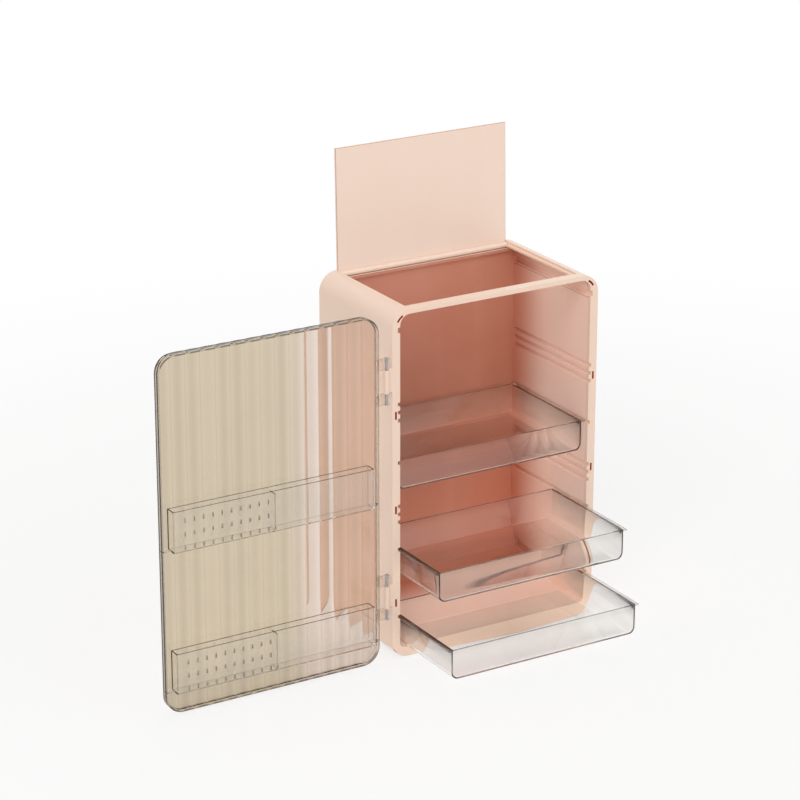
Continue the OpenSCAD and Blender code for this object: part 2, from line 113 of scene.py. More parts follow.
def colour(name, description, screen):
    return FloatVectorProperty(name=name, description=description, subtype="COLOR", size=3,
                               default=from_screen(*screen), min=0.0, max=1.0)


class OrganizerSizes(PropertyGroup):
    """Roundings and wall sizes of the finished pieces."""

    cabinet_corner: length("Cabinet corner", "Radius of the cabinet's long corners", 0.022)
    slot_inset: length("Slot inset", "From the frame's side to the middle of its slots", 0.0047)
    slot_width: length("Slot width", "Width of a snap slot", 0.0022)
    frame_round: length("Frame rounding", "Rounding of the front frame's edges", 0.0006)
    shell_round: length("Shell rounding", "Rounding of the cabinet's small edges", 0.0005)
    lid_round: length("Lid rounding", "Rounding of the lid's edges", 0.0006)
    clear_round: length("Pocket rounding", "Rounding of the pockets' edges", 0.0003)
    door_corner: length("Door corner", "Radius of the door's corners", 0.0205)
    door_rim: length("Door rim", "Thickness of the door's rim wall", 0.002)
    door_panel: length("Door panel", "Thickness of the door's panel under its flutes", 0.0016)
    door_depth: length("Door depth", "From the door's rim to its outer face", 0.010)
    flute_depth: length("Flute depth", "Height of a flute over its valleys", 0.0009)
    flute_count: IntProperty(name="Flutes", description="Flutes across the door", default=15)
    tray_wall: length("Tray wall", "Wall thickness of a tray", 0.002)
    tray_side: length("Tray side radius", "Radius under a tray's side walls", 0.009)
    tray_front: length("Tray front radius", "Radius under a tray's front wall", 0.0028)
    tray_corner: length("Tray corner radius", "Radius of a tray's upright corners", 0.0024)
    flange_width: length("Flange width", "Width of a tray's side flange", 0.0042)
    flange_height: length("Flange height", "Thickness of a tray's side flange", 0.002)
    lug_radius: length("Lug radius", "Radius of a door hinge lug", 0.0039)
    lug_height: length("Lug height", "Height of a door hinge lug", LUG_HEIGHT)
    lug_bore: length("Lug bore", "Radius of the hole in a door hinge lug", 0.0016)


class OrganizerColours(PropertyGroup):
    """Colours of the organizer's materials."""

    shell: colour("Shell", "Cabinet outside and front frame", (245, 217, 197))
    # The inner walls and floor are the shell's plastic with painted light and shade: the next tone
    # is painted light near the opening, the one after it painted shade at the back
    inner: colour("Inner walls", "Inner walls and floor at the front", (254, 223, 207))
    inner_back_shade: colour("Deep inner walls", "Inner walls at the back", (200, 126, 100))
    lid: colour("Lid", "Dust lid", (248, 223, 206))
    lid_edge: colour("Lid edge", "Thin edge faces of the lid", (205, 160, 140))
    # Painted shade: a dark red where the snap slots' insides lie in shade
    slot: colour("Slot", "Shaded inside of the snap slots", (208, 74, 58))
    smoke: colour("Smoked plastic", "The door's panel", (217, 201, 175))
    # Painted light: a paler door tint towards the hinge, where the lit cabinet shows through
    smoke_painted_light: colour("Smoked plastic near the hinge", "The panel's paler side", (239, 221, 209))
    # Painted shade: the door's rim and edges are the smoked plastic made dark, in dashes along the
    # flutes
    smoke_edge_shade: colour("Smoked edge", "The door's rim and edges", (92, 80, 68))
    lug: colour("Hinge lug", "Lugs at the door's hinge side", (252, 238, 230))
    clear: colour("Clear plastic", "Trays and pockets", (250, 249, 247))
    # Painted shade: the trays' and pockets' rims and edges are the clear plastic made darker
    clear_edge_shade: colour("Clear edge", "Rims and edges of trays and pockets", (205, 196, 188))
    steel: colour("Steel", "Pins and screws", (186, 186, 188))
    rubber: colour("Rubber", "Pads under the base", (58, 54, 52))
    floor: colour("Floor", "Floor under the organizer", (247, 246, 245))


# ---- shaders ----


class Value:
    """A socket of a material's nodes. Arithmetic on it adds the Math nodes that work it out."""

    def __init__(self, recipe, socket):
        self.recipe, self.socket = recipe, socket

    def _math(self, operation, *terms, clamped=False):
        sockets = dict(enumerate(terms))
        settings = {"operation": operation, "use_clamp": clamped}
        return self.recipe.node("ShaderNodeMath", settings, sockets)

    def __add__(self, other):
        return self._math("ADD", self, other)

    def __sub__(self, other):
        return self._math("SUBTRACT", self, other)

    def __rsub__(self, other):
        return self._math("SUBTRACT", other, self)

    def __mul__(self, other):
        return self._math("MULTIPLY", self, other)

    __radd__ = __add__
    __rmul__ = __mul__

    def sine(self):
        return self._math("SINE", self)

    def clamped(self):
        return self._math("ADD", self, 0.0, clamped=True)

    def ramp(self, low, high):
        """0 below low, 1 above high and a smooth rise between."""
        settings = {"interpolation_type": "SMOOTHSTEP"}
        return self.recipe.node("ShaderNodeMapRange", settings, {0: self, 1: low, 2: high})


class Recipe:
    """The nodes of one material or world, written top down."""

    def __init__(self, owner):
        owner.use_nodes = True
        self.owner, self.tree, self.output = owner, owner.node_tree, None
        self.tree.nodes.clear()

    @cached_property
    def place(self):
        return self.node("ShaderNodeTexCoord", out="Object")

    def node(self, kind, settings=None, sockets=None, out=0):
        """Adds a node: its settings first, then the values or links of its sockets."""
        made = self.tree.nodes.new(kind)
        for key, value in (settings or {}).items():
            setattr(made, key, value)
        for key, value in (sockets or {}).items():
            if isinstance(value, Value):
                self.tree.links.new(value.socket, made.inputs[key])
            else:
                made.inputs[key].default_value = value
        return Value(self, made.outputs[out]) if made.outputs else made

    def stretched(self, x, y, z):
        """The place on the object with each axis scaled."""
        return self.node("ShaderNodeMapping", sockets={"Vector": self.place, "Scale": (x, y, z)})

    def noise(self, scale, detail=2.0, at=None):
        sockets = {"Vector": at or self.place, "Scale": scale, "Detail": detail}
        return self.node("ShaderNodeTexNoise", sockets=sockets)

    def axis(self, name):
        return self.node("ShaderNodeSeparateXYZ", sockets={0: self.place}, out=name)

    def blend(self, factor, first, second):
        """A colour between two, given as colours or links."""
        sockets = {0: factor, 6: self.rgba(first), 7: self.rgba(second)}
        return self.node("ShaderNodeMix", {"data_type": "RGBA"}, sockets, out=2)

    def bump(self, height, distance, strength=1.0):
        sockets = {"Height": height, "Distance": distance, "Strength": strength}
        return self.node("ShaderNodeBump", sockets=sockets)

    def plastic(self, **sockets):
        """Puts a Principled shader on the surface. Keys are socket names with _ for a space."""
        named = {key.replace("_", " "): value for key, value in sockets.items()}
        named["Base Color"] = self.rgba(named["Base Color"])
        shader = self.node("ShaderNodeBsdfPrincipled", sockets=named)
        self.surface(shader)
        return shader

    def surface(self, shader):
        """Makes a shader the surface, in place of the last one."""
        if self.output is None:
            self.output = self.tree.nodes.new("ShaderNodeOutputMaterial")
        self.tree.links.new(shader.socket, self.output.inputs["Surface"])

    @staticmethod
    def rgba(value):
        return value if isinstance(value, Value) else (*tuple(value)[:3], 1.0)


def shade(tone, factor):
    """A colour made darker or lighter."""
    return tuple(min(1.0, float(v) * factor) for v in tone)


def moulded(name, tone, roughness, coat, deep=None):
    """Satin moulded plastic: cloudy colour, faint flow lines, fine grain and light scuffs. deep
    is a darker tone, painted shade that grows towards the cabinet's back."""
    r = Recipe(bpy.data.materials.new(name))
    cloud = r.noise(9.0, 3.0)
    flow = r.noise(30.0, 2.0, r.stretched(1.0, 1.0, 0.12))
    scuff = r.noise(420.0, 4.0, r.stretched(1.0, 0.25, 0.25)).ramp(0.60, 0.74)
    # Painted shade: the tone darkens from the room's middle to the back panel
    tinted = tone if deep is None else r.blend(r.axis("Y").ramp(0.0, ROOM_BACK), tone, deep)
    warm = (tone[0] * 0.9, tone[1] * 0.78, tone[2] * 0.72)
    tinted = r.blend(cloud.ramp(0.3, 0.7) * 0.09 + flow.ramp(0.45, 0.8) * 0.06, tinted, warm)
    grain = r.noise(2600.0, 2.0) * 0.6 + r.noise(240.0, 2.0) * 0.7
    return r.plastic(
        Base_Color=tinted, Roughness=(roughness + 0.10 * cloud + 0.06 * scuff).clamped(),
        Coat_Weight=coat, Coat_Roughness=0.16, IOR=PLASTIC_IOR,
        Normal=r.bump(grain, 0.00006, 0.5))


def see_through(name, tone, roughness, ripple, thin, tint=None):
    """Clear or smoked plastic. Most of it bends light; the share named by thin, and every shadow
    ray, goes straight on. Its face has faint ripples and its tint slight clouds. tint makes the
    tone from the recipe where it isn't plain."""
    r = Recipe(bpy.data.materials.new(name))
    cloud = r.noise(26.0, 2.0)
    waves = r.noise(34.0, 1.0, r.stretched(1.0, 1.0, 0.35))
    fine = r.noise(420.0, 2.0)
    tinted = tint(r, tone) if tint else tone
    tinted = r.blend(cloud.ramp(0.3, 0.7) * 0.05, tinted, shade(tone, 0.6))
    glass = r.plastic(
        Base_Color=tinted, Roughness=(roughness + 0.03 * fine).clamped(), IOR=PLASTIC_IOR,
        Transmission_Weight=1.0, Normal=r.bump(waves + 0.05 * fine, ripple, 0.3))
    falls = r.node("ShaderNodeLightPath", out="Is Shadow Ray")
    straight = r.node("ShaderNodeBsdfTransparent", sockets={"Color": (0.94, 0.93, 0.92, 1.0)})
    factor = (falls + thin).clamped()
    r.surface(r.node("ShaderNodeMixShader", sockets={0: factor, 1: glass, 2: straight}))


def flute_wave(r):
    """Cosine across the door's flutes: 1 in their valleys and -1 on their crests."""
    side = float(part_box("door")[0].x)
    turn = 2 * pi * bpy.context.scene.organizer_sizes.flute_count / (DOOR_FAR - DOOR_NEAR)
    return (r.axis("X") * turn + (pi / 2 - side * turn)).sine()


def fluted_tint(r, tone):
    """The door's tone: paler towards the hinge as painted light, deeper where a flute is thick,
    darker along the bottom as painted shade, and with a fine line in each valley."""
    side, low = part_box("door")[0].x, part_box("door")[0].z
    width = DOOR_FAR - DOOR_NEAR
    near = bpy.context.scene.organizer_colours.smoke_painted_light
    wave = flute_wave(r)
    uneven = r.noise(30.0, 1.0, r.stretched(1.0, 1.0, 0.02)).ramp(0.35, 0.65)
    # Painted light: paler towards the hinge, where the lit cabinet shows through
    tinted = r.blend(r.axis("X").ramp(side + 0.55 * width, side + 0.74 * width), tone, near)
    # Painted shade along the door's bottom
    bottom_shade = 1.0 - r.axis("Z").ramp(low + 0.01, low + 0.055)
    deep = (0.06 + 0.16 * uneven) * (0.5 - 0.5 * wave) + wave.ramp(0.955, 0.995) * 0.16
    return r.blend((deep + 0.25 * bottom_shade).clamped(), tinted, shade(tone, 0.4))


def dashed_edge_shade(r, tone):
    """The door's edge tone, darkened as painted shade: a dark dash along each flute and a pale gap
    in each valley.
    """
    return r.blend(flute_wave(r).ramp(0.35, 0.6), shade(tone, 0.25), shade(tone, 3.0))


def brushed(name, tone):
    """Drawn wire and plated screws: fine lines along Z over a cloudy finish."""
    r = Recipe(bpy.data.materials.new(name))
    lines = r.noise(900.0, 3.0, r.stretched(1.0, 1.0, 0.05))
    return r.plastic(
        Base_Color=r.blend(lines, shade(tone, 0.85), shade(tone, 1.1)), Metallic=1.0,
        Roughness=0.28 + 0.16 * lines, Normal=r.bump(lines, 0.00003, 0.5))


def soft_rubber(name, tone):
    """Matt rubber with dust in its grain."""
    r = Recipe(bpy.data.materials.new(name))
    grain = r.noise(1800.0, 3.0)
    dust = r.noise(160.0, 4.0).ramp(0.5, 0.7)
    return r.plastic(
        Base_Color=r.blend(dust * 0.5, tone, shade(tone, 1.8)), Roughness=0.75 + 0.15 * grain,
        Normal=r.bump(grain, 0.0001, 0.6))


def materials():
    """The organizer's materials by name, made once."""
    tones = bpy.context.scene.organizer_colours
    if "shell_plastic" not in bpy.data.materials:
        moulded("shell_plastic", tones.shell, 0.30, 0.25)
        # Inner walls: painted light at the front, painted shade towards the back
        moulded("inner_lit_and_shaded_plastic", tones.inner, 0.42, 0.10, tones.inner_back_shade)
        moulded("lid_plastic", tones.lid, 0.26, 0.30)
        moulded("lid_edge_plastic", tones.lid_edge, 0.34, 0.20)
        # Painted shade inside the slots
        moulded("slot_painted_shade", tones.slot, 0.55, 0.0)
        # The door's panel: painted light towards the hinge and painted shade along the bottom
        see_through("smoked_plastic", tones.smoke, 0.02, 0.0002, 0.0, fluted_tint)
        # The door's rim and edges: darkened as painted shade
        see_through("smoked_edge_shade_plastic", tones.smoke_edge_shade, 0.06, 0.0002, 0.15, dashed_edge_shade)
        see_through("lug_plastic", tones.lug, 0.08, 0.0002, 0.7)
        see_through("clear_plastic", tones.clear, 0.0, 0.0001, 0.0)
        # Clear rims and edges: darker as painted shade
        see_through("clear_edge_shade_plastic", tones.clear_edge_shade, 0.03, 0.0001, 0.0)
        see_through("flange_plastic", tones.clear, 0.03, 0.0001, 0.5)
        brushed("plain_steel", tones.steel)
        soft_rubber("pad_rubber", tones.rubber)
    return bpy.data.materials


# ---- meshes ----


def finish_mesh(mesh, sharp=SHARP):
    """Outward faces, smooth across small angles."""
    work = bmesh.new()
    work.from_mesh(mesh)
    bmesh.ops.recalc_face_normals(work, faces=work.faces)
    work.to_mesh(mesh)
    work.free()
    mesh.polygons.foreach_set("use_smooth", np.ones(len(mesh.polygons), bool))
    mesh.set_sharp_from_angle(angle=sharp)


def add_piece(name, mesh, body, nodes, stuff):
    """Links a mesh as a piece that rides on a body and stands for CAD nodes."""
    piece = bpy.data.objects.new(name, mesh)
    bpy.context.scene.collection.objects.link(piece)
    kinds = np.empty(len(mesh.polygons), np.int32)
    mesh.polygons.foreach_get("material_index", kinds)
    mesh.materials.clear()
    for material in stuff:
        mesh.materials.append(materials()[material])
    mesh.polygons.foreach_set("material_index", kinds)
    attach(piece, body)
    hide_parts(*nodes)
    return piece


def built(name, points, faces, kinds):
    """A mesh from point and face arrays. kinds holds each face's material number."""
    mesh = bpy.data.meshes.new(name)
    mesh.from_pydata(points.tolist(), [], faces)
    mesh.validate()
    mesh.polygons.foreach_set("material_index", np.asarray(kinds, np.int32))
    return mesh


def strips(loops):
    """Quads between each closed loop of point numbers and the next one."""
    low, high = loops[:-1], loops[1:]
    quads = np.stack([low, np.roll(low, -1, 1), np.roll(high, -1, 1), high], -1)
    return quads.reshape(-1, 4)


def loft(rings, edges):
    """Points, faces and kinds of a solid between its first and last ring, each closed by a flat
    face. edges says for each strip whether it is an edge."""
    count = rings.shape[1]
    numbers = np.arange(rings.shape[0] * count).reshape(-1, count)
    faces = strips(numbers).tolist() + [numbers[0][::-1].tolist(), numbers[-1].tolist()]
    kinds = np.repeat(np.asarray(edges, int), count).tolist() + [0, 0]
    return rings.reshape(-1, 3), faces, kinds


def joined(parts):
    """Several (points, faces, kinds) as one."""
    points, faces, kinds = [], [], []
    for p, f, k in parts:
        start = sum(len(q) for q in points)
        points.append(p)
        faces += [[start + i for i in face] for face in f]
        kinds += list(k)
    return np.concatenate(points), faces, kinds


def round_rectangle(half_x, half_y, radius, steps=6):
    """Points of a rectangle with round corners, anticlockwise. Each corner is its centre plus
    the radius times (cosine, sine) of an angle that runs through a quarter turn."""
    angle = (np.arange(4)[:, None] * pi / 2 + np.linspace(0, pi / 2, steps + 1)).ravel()
    sign = np.repeat([[1, 1], [-1, 1], [-1, -1], [1, -1]], steps + 1, axis=0)
    centre = sign * np.array([half_x - radius, half_y - radius])
    return centre + radius * np.stack([np.cos(angle), np.sin(angle)], 1)


def quarter(radius, steps=6):
    """(inset, rise) along a quarter circle from lying flat to standing upright."""
    angle = np.linspace(0, pi / 2, steps + 1)
    return radius * (1 - np.sin(angle)), radius * (1 - np.cos(angle))


def bar_along_y(low, high, radius):
    """A bar with rounded edges and ends: rings inset by a quarter circle at either end."""
    low, high = np.array(low), np.array(high)
    half, middle = (high - low) / 2, (high + low) / 2
    inset, rise = quarter(radius, 3)
    insets = np.concatenate([inset, inset[::-1]])
    places = np.concatenate([low[1] + rise, (high[1] - rise)[::-1]])
    rings = []
    for gap, y in zip(insets, places):
        ring = round_rectangle(half[0] - gap, half[2] - gap, max(radius - gap, 1e-5), 3)
        rings.append(np.stack([ring[:, 0] + middle[0], np.full(len(ring), y),
                               ring[:, 1] + middle[2]], 1))
    edges = np.ones(len(insets) - 1)
    edges[len(inset) - 1] = 0
    return loft(np.array(rings), edges)


def tray_mesh(node):
    """A tray: rings of a rectangle with round corners, carried from the middle of the outer
    bottom up the outer wall, over the rim and down the inner wall. The inset of a ring follows
    one quarter circle at the sides and a smaller one at front and back. Bars form the flanges."""
    s = bpy.context.scene.organizer_sizes
    low, high = (np.array(corner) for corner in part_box(node))
    half_x = (high[0] - low[0]) / 2 - s.flange_width
    half_y = (high[1] - low[1]) / 2
    middle = (low + high) / 2
    lip, bar_round, least_front, least_corner = 0.0006, 0.0005, 0.0012, 0.0006

    def wall(shift, floor):
        """Insets and heights up a wall set in by shift, standing on a floor."""
        side, front = s.tray_side - shift, max(s.tray_front - shift, least_front)
        angle = np.linspace(0, pi / 2, 9)
        rise = side * (1 - np.cos(angle))
        inset_x = side * (1 - np.sin(angle))
        near = np.clip(1 - rise / front, 0, 1)
        inset_y = front * (1 - np.sqrt(1 - near**2))
        return shift + inset_x, shift + inset_y, floor + rise

    out_x, out_y, out_z = wall(0.0, low[2])
    in_x, in_y, in_z = wall(s.tray_wall, low[2] + s.tray_wall)
    turn = np.linspace(0, pi, 7)[1:-1]
    lip_in = s.tray_wall / 2 - (s.tray_wall / 2 - lip) - lip * np.cos(turn)
    flat = (turn > pi / 2) * (s.tray_wall - 2 * lip)
    rim_in = np.concatenate([[0], lip_in + flat, [s.tray_wall]])
    rim_z = high[2] - lip + lip * np.concatenate([[0], np.sin(turn), [0]])
    inset_x = np.concatenate([out_x, rim_in, in_x[::-1]])
    inset_y = np.concatenate([out_y, rim_in, in_y[::-1]])
    heights = np.concatenate([out_z, rim_z, in_z[::-1]])
    rings = []
    for ix, iy, z in zip(inset_x, inset_y, heights):
        radius = max(s.tray_corner - min(ix, iy), least_corner)
        ring = round_rectangle(half_x - ix, half_y - iy, radius, 5)
        rings.append(np.column_stack([ring + middle[:2], np.full(len(ring), z)]))
    count = len(out_x)
    # The rim's strips take the clear plastic's darker edge tone, painted shade
    edges = np.zeros(len(rings) - 1)
    edges[count:count + len(rim_in) - 1] = 1
    parts = [loft(np.array(rings), edges)]
    for side in (-1, 1):
        bar = np.array([half_x - s.tray_wall / 2, half_x + s.flange_width])
        reach = np.sort(middle[0] + side * bar)
        points, faces, kinds = bar_along_y((reach[0], low[1], high[2] - s.flange_height),
                                           (reach[1], high[1], high[2]), bar_round)
        parts.append((points, faces, [kind or 2 for kind in kinds]))
    mesh = built(node + "_clear", *joined(parts))
    finish_mesh(mesh)
    return mesh


def door_outline(width, low, high, radius, flutes):
    """Columns across a rectangle with round corners: x, bottom z, top z and the outline's
    outward slope (nx, nz). In a corner the drop is the radius less the root of its square less
    the squared distance from the corner's centre."""
    even = np.linspace(-width / 2, width / 2, flutes * 12 + 1)
    corner = radius * (1 - np.cos(np.linspace(0, pi / 2, 15)))
    x = np.unique(np.round(np.concatenate([even, corner - width / 2, width / 2 - corner]), 6))
    past = np.clip(radius - (width / 2 - np.abs(x)), 0, radius)
    drop = radius - np.sqrt(radius**2 - past**2)
    nx = np.sign(x) * past / radius
    return x, low + drop, high - drop, nx, np.sqrt(1 - nx**2)


def door_mesh():
    """The door, drawn closed and turned half round its hinge. Its outer face is a grid whose
    depth is a row of shallow arcs. Rings of the outline, set in and back, carry it round the
    edge, along the rim and down to the panel's flat inner face."""
    s = bpy.context.scene.organizer_sizes
    low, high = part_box("door")
    near, far = DOOR_NEAR, DOOR_FAR
    width, middle = far - near, (far + near) / 2
    x, bottom, top, nx, nz = door_outline(width, low.z, high.z, s.door_corner, s.flute_count)
    rim_y = DOOR_RIM
    face_y = rim_y - s.door_depth
    panel_y = face_y + s.flute_depth + s.door_panel
    share = np.concatenate([[0, 0.004, 0.008, 0.014, 0.03], np.linspace(0.06, 0.94, 12),
                            [0.97, 0.986, 0.992, 0.996, 1]])

    def grid(inset, y):
        """Points of the face set in from the outline, rows from bottom to top."""
        lower = np.stack([x - inset * nx, bottom + inset * nz], 1)
        upper = np.stack([x - inset * nx, top - inset * nz], 1)
        flat = lower + (upper - lower) * share[:, None, None]
        depth = np.broadcast_to(y, flat.shape[:2])
        return np.stack([flat[..., 0] + middle, depth, flat[..., 1]], -1)

    pitch = width / s.flute_count
    arc = ((pitch / 2) ** 2 + s.flute_depth**2) / (2 * s.flute_depth)
    off = (x + width / 2) % pitch - pitch / 2
    rise = np.sqrt(arc**2 - off**2) - arc + s.flute_depth
    fluted = face_y + s.flute_depth - rise
    edge, lip, fillet = 0.0008, 0.0005, 0.001
    outer = grid(edge, fluted)
    rows, columns = outer.shape[:2]
    index = np.arange(rows * columns).reshape(rows, columns)
    border_loop = np.concatenate([index[0], index[1:, -1], index[-1, -2::-1], index[-2:0:-1, 0]])
    inset, back = quarter(edge, 4)
    path = [(i, fluted + b) for i, b in zip(inset[1:], back[1:])]
    path += [(0, rim_y - lip), (0.3 * lip, rim_y - 0.3 * lip), (lip, rim_y)]
    path += [(s.door_rim - lip, rim_y), (s.door_rim - 0.3 * lip, rim_y - 0.3 * lip),
             (s.door_rim, rim_y - lip), (s.door_rim, panel_y + fillet),
             (s.door_rim + 0.3 * fillet, panel_y + 0.3 * fillet)]
    rings = [grid(i, y).reshape(-1, 3)[border_loop] for i, y in path]
    inner = grid(s.door_rim + fillet, panel_y)
    count, loop = rows * columns, len(border_loop)
    ring_numbers = count + np.arange(len(path) * loop).reshape(-1, loop)
    inner_start = count + len(path) * loop
    loops = np.vstack([border_loop, ring_numbers, border_loop + inner_start])
    quads = np.stack([index[:-1, :-1], index[:-1, 1:], index[1:, 1:], index[1:, :-1]], -1)
    quads = quads.reshape(-1, 4)
    faces = quads.tolist() + (quads[:, ::-1] + inner_start).tolist()
    faces += strips(loops)[:, ::-1].tolist()
    # Strips marked 1 take the edge material, darkened as painted shade
    edges = [1, 1, 1, 1, 0, 1, 1, 1, 1, 1, 0, 0, 0]
    kinds = [0] * (2 * len(quads)) + np.repeat(edges, loop).tolist()
    points = np.concatenate([outer.reshape(-1, 3), *rings, inner.reshape(-1, 3)])
    parts = [(points, faces, kinds)] + [lug(z) for z in LUG_LOWS]
    points, faces, kinds = joined(parts)
    points[:, :2] = 2 * np.array(HINGE[:2]) - points[:, :2]
    mesh = built("door_smoked", points, faces, kinds)
    finish_mesh(mesh)
    return mesh


def lug(low):
    """A hinge lug: a loop round the hinge, a circle with one straight arm to the door's rim,
    swept up the outside, in over the top, down the bore and out under the bottom."""
    s = bpy.context.scene.organizer_sizes
    overlap, edge, mouth = 0.001, 0.0004, 0.0003
    r, arm = s.lug_radius, DOOR_NEAR - HINGE[0] + overlap
    upper = DOOR_RIM - HINGE[1]
    angle = np.linspace(np.arcsin(upper / r), 1.5 * pi, 26)
    round_part = r * np.stack([np.cos(angle), np.sin(angle)], 1)
    plate = [[arm * 0.5, -r], [arm, -r], [arm, upper], [arm * 0.6, upper]]
    outside = np.vstack([round_part, plate])
    turn = np.arctan2(outside[:, 1], outside[:, 0])
    bore = s.lug_bore * np.stack([np.cos(turn), np.sin(turn)], 1)
    small = outside * (1 - edge / np.linalg.norm(outside, axis=1, keepdims=True))
    wide = bore * (1 + mouth / s.lug_bore)
    high = low + s.lug_height
    path = [(outside, low + edge), (outside, high - edge), (small, high), (wide, high),
            (bore, high - mouth), (bore, low + mouth), (wide, low), (small, low)]
    rings = [np.column_stack([ring + np.array(HINGE[:2]), np.full(len(ring), z)])
             for ring, z in path]
    numbers = np.arange(len(path) * len(outside)).reshape(len(path), -1)
    faces = strips(np.vstack([numbers, numbers[:1]]))
    return np.concatenate(rings), faces.tolist(), [2] * len(faces)


def face_turns(mesh):
    """Angle across each edge and the edge's two end points, as arrays."""
    corners = np.empty(len(mesh.loops), np.int32)
    mesh.loops.foreach_get("edge_index", corners)
    sides = np.empty(len(mesh.polygons), np.int32)
    mesh.polygons.foreach_get("loop_total", sides)
    normals = np.empty(3 * len(mesh.polygons), np.float32)
    mesh.polygons.foreach_get("normal", normals)
    ends = np.empty(2 * len(mesh.edges), np.int32)
    mesh.edges.foreach_get("vertices", ends)
    places = np.empty(3 * len(mesh.vertices), np.float32)
    mesh.vertices.foreach_get("co", places)
    if len(corners) != 2 * len(mesh.edges):
        raise ValueError(f"{mesh.name} isn't closed: its edges don't have two faces each")
    owner = np.repeat(np.arange(len(sides)), sides)
    pairs = owner[np.argsort(corners, kind="stable")].reshape(-1, 2)
    normals = normals.reshape(-1, 3)
    cosine = np.clip((normals[pairs[:, 0]] * normals[pairs[:, 1]]).sum(1), -1, 1)
    return np.arccos(cosine), places.reshape(-1, 3)[ends.reshape(-1, 2)]


def flat_regions(work):
    """Lists of faces that lie in one plane and hang together, where there are two or more."""
    flat = {edge for edge in work.edges if edge.calc_face_angle(1.0) < FLAT}
    regions, seen_faces = [], set()
    for seed in work.faces:
        region, border = [], [seed]
        while border:
            face = border.pop()
            if face not in seen_faces:
                seen_faces.add(face)
                region.append(face)
                border += [other for edge in face.edges if edge in flat
                           for other in edge.link_faces]
        if len(region) > 1:
            regions.append(region)
    return regions


def refill(work, region):
    """Fills a flat region anew with well shaped triangles. The fill also covers holes: a face
    there runs along the rim the wrong way round, or meets one that does, and is left out."""
    held = set(region)
    upright = max(region, key=lambda face: face.calc_area()).normal
    turn = upright.rotation_difference(Vector((0, 0, 1)))
    rim = [loop for face in region for loop in face.loops
           if not set(loop.edge.link_faces) <= held]
    points = list(dict.fromkeys(end for loop in rim for end in loop.edge.verts))
    number = {point: i for i, point in enumerate(points)}
    places = [(turn @ point.co).xy for point in points]
    sides = [(number[loop.vert], number[loop.link_loop_next.vert]) for loop in rim]
    _, _, filled, sources, _, _ = delaunay_2d_cdt(places, sides, [], 1, 1e-8)
    if any(len(source) != 1 for source in sources):
        return
    bmesh.ops.delete(work, geom=region, context="FACES")
    wrong_ways = {(end, start) for start, end in sides}
    corners = [[sources[i][0] for i in face] for face in filled]
    faces = [list(zip(face, face[1:] + face[:1])) for face in corners]
    wrong = faces
    while wrong:
        wrong = [face for face in faces if wrong_ways & set(face)]
        faces = [face for face in faces if face not in wrong]
        wrong_ways |= {(end, start) for face in wrong for start, end in face} - set(sides)
    for face in faces:
        work.faces.new([points[start] for start, _ in face])


def refill_flats(work, step=0.005):
    """Fills each flat region anew with few faces, parted by short cuts. A cut that ran nearly
    along a sharp edge would be folded over by its rounding, so sharp edges are divided every
    step first, which lets a cut run straight across a strip. At the end the longest cuts go,
    where the faces beside them meet along one unbroken chain of edges."""
    for edge in [e for e in work.edges if e.calc_face_angle(0.0) > SHARP]:
        for left in range(int(edge.calc_length() / step), 0, -1):
            piece, _ = bmesh.utils.edge_split(edge, edge.verts[0], 1 / (left + 1))
            edge = max(edge, piece, key=lambda part: part.calc_length())
    for region in flat_regions(work):
        refill(work, region)
    cuts = [edge for edge in work.edges if edge.calc_face_angle(1.0) < FLAT]
    for edge in sorted(cuts, key=lambda cut: cut.calc_length(), reverse=True):
        if edge.is_valid and len(edge.link_faces) == 2:
            one, two = edge.link_faces
            edges = set(one.edges) & set(two.edges)
            corners = set(one.verts) & set(two.verts)
            if one is not two and len(corners) == len(edges) + 1:
                bmesh.utils.face_join([one, two])


def rounded_copy(node, body, width, stuff, seams=(), kinds=None, share=None):
    """A copy of a CAD node with its doubles merged and its edges rounded. Edges in a seam plane
    (axis, place) stay sharp, and share gives an edge a part of the width from its two ends.
    kinds gives faces their material numbers from their centres and normals; without it the
    roundings get the second material."""
    mesh = frame["nodes"][node].data.copy()
    mesh.name = node + "_finished"
    for extra in ("custom_normal", "sharp_edge", "sharp_face"):
        if extra in mesh.attributes:
            mesh.attributes.remove(mesh.attributes[extra])
    work = bmesh.new()
    work.from_mesh(mesh)
    bmesh.ops.remove_doubles(work, verts=work.verts, dist=2e-6)
    refill_flats(work)
    work.normal_update()
    work.to_mesh(mesh)
    work.free()
    turns, ends = face_turns(mesh)
    weight = (turns > SHARP).astype(np.float32)
    for axis, place in seams:
        weight[(np.abs(ends[:, :, axis] - place) < 2e-5).all(1)] = 0
    if share is not None:
        weight *= share(ends)
    held = mesh.attributes.new("bevel_weight_edge", "FLOAT", "EDGE")
    held.data.foreach_set("value", weight)
    mesh.polygons.foreach_set("use_smooth", np.ones(len(mesh.polygons), bool))
    mesh.set_sharp_from_angle(angle=SHARP)
    piece = add_piece(node + "_finished", mesh, body, [node], stuff)
    if kinds is not None:
        facts = np.empty((2, 3 * len(mesh.polygons)), np.float32)
        mesh.polygons.foreach_get("center", facts[0])
        mesh.polygons.foreach_get("normal", facts[1])
        numbers = kinds(*facts.reshape(2, -1, 3))
        mesh.polygons.foreach_set("material_index", numbers.astype(np.int32))
    bevel = piece.modifiers.new("edges", "BEVEL")
    bevel.limit_method = "WEIGHT"
    bevel.width = width
    bevel.segments = 3
    bevel.use_clamp_overlap = False
    bevel.harden_normals = True
    bevel.miter_outer = "MITER_ARC"
    if kinds is None and len(stuff) > 1:
        bevel.material = 1
    return piece


def paint(node, material):
    """Gives a CAD node one material, in every slot it has."""
    shown = frame["nodes"][node].data
    shown.materials.clear()
    shown.materials.append(materials()[material])


# ---- operators ----


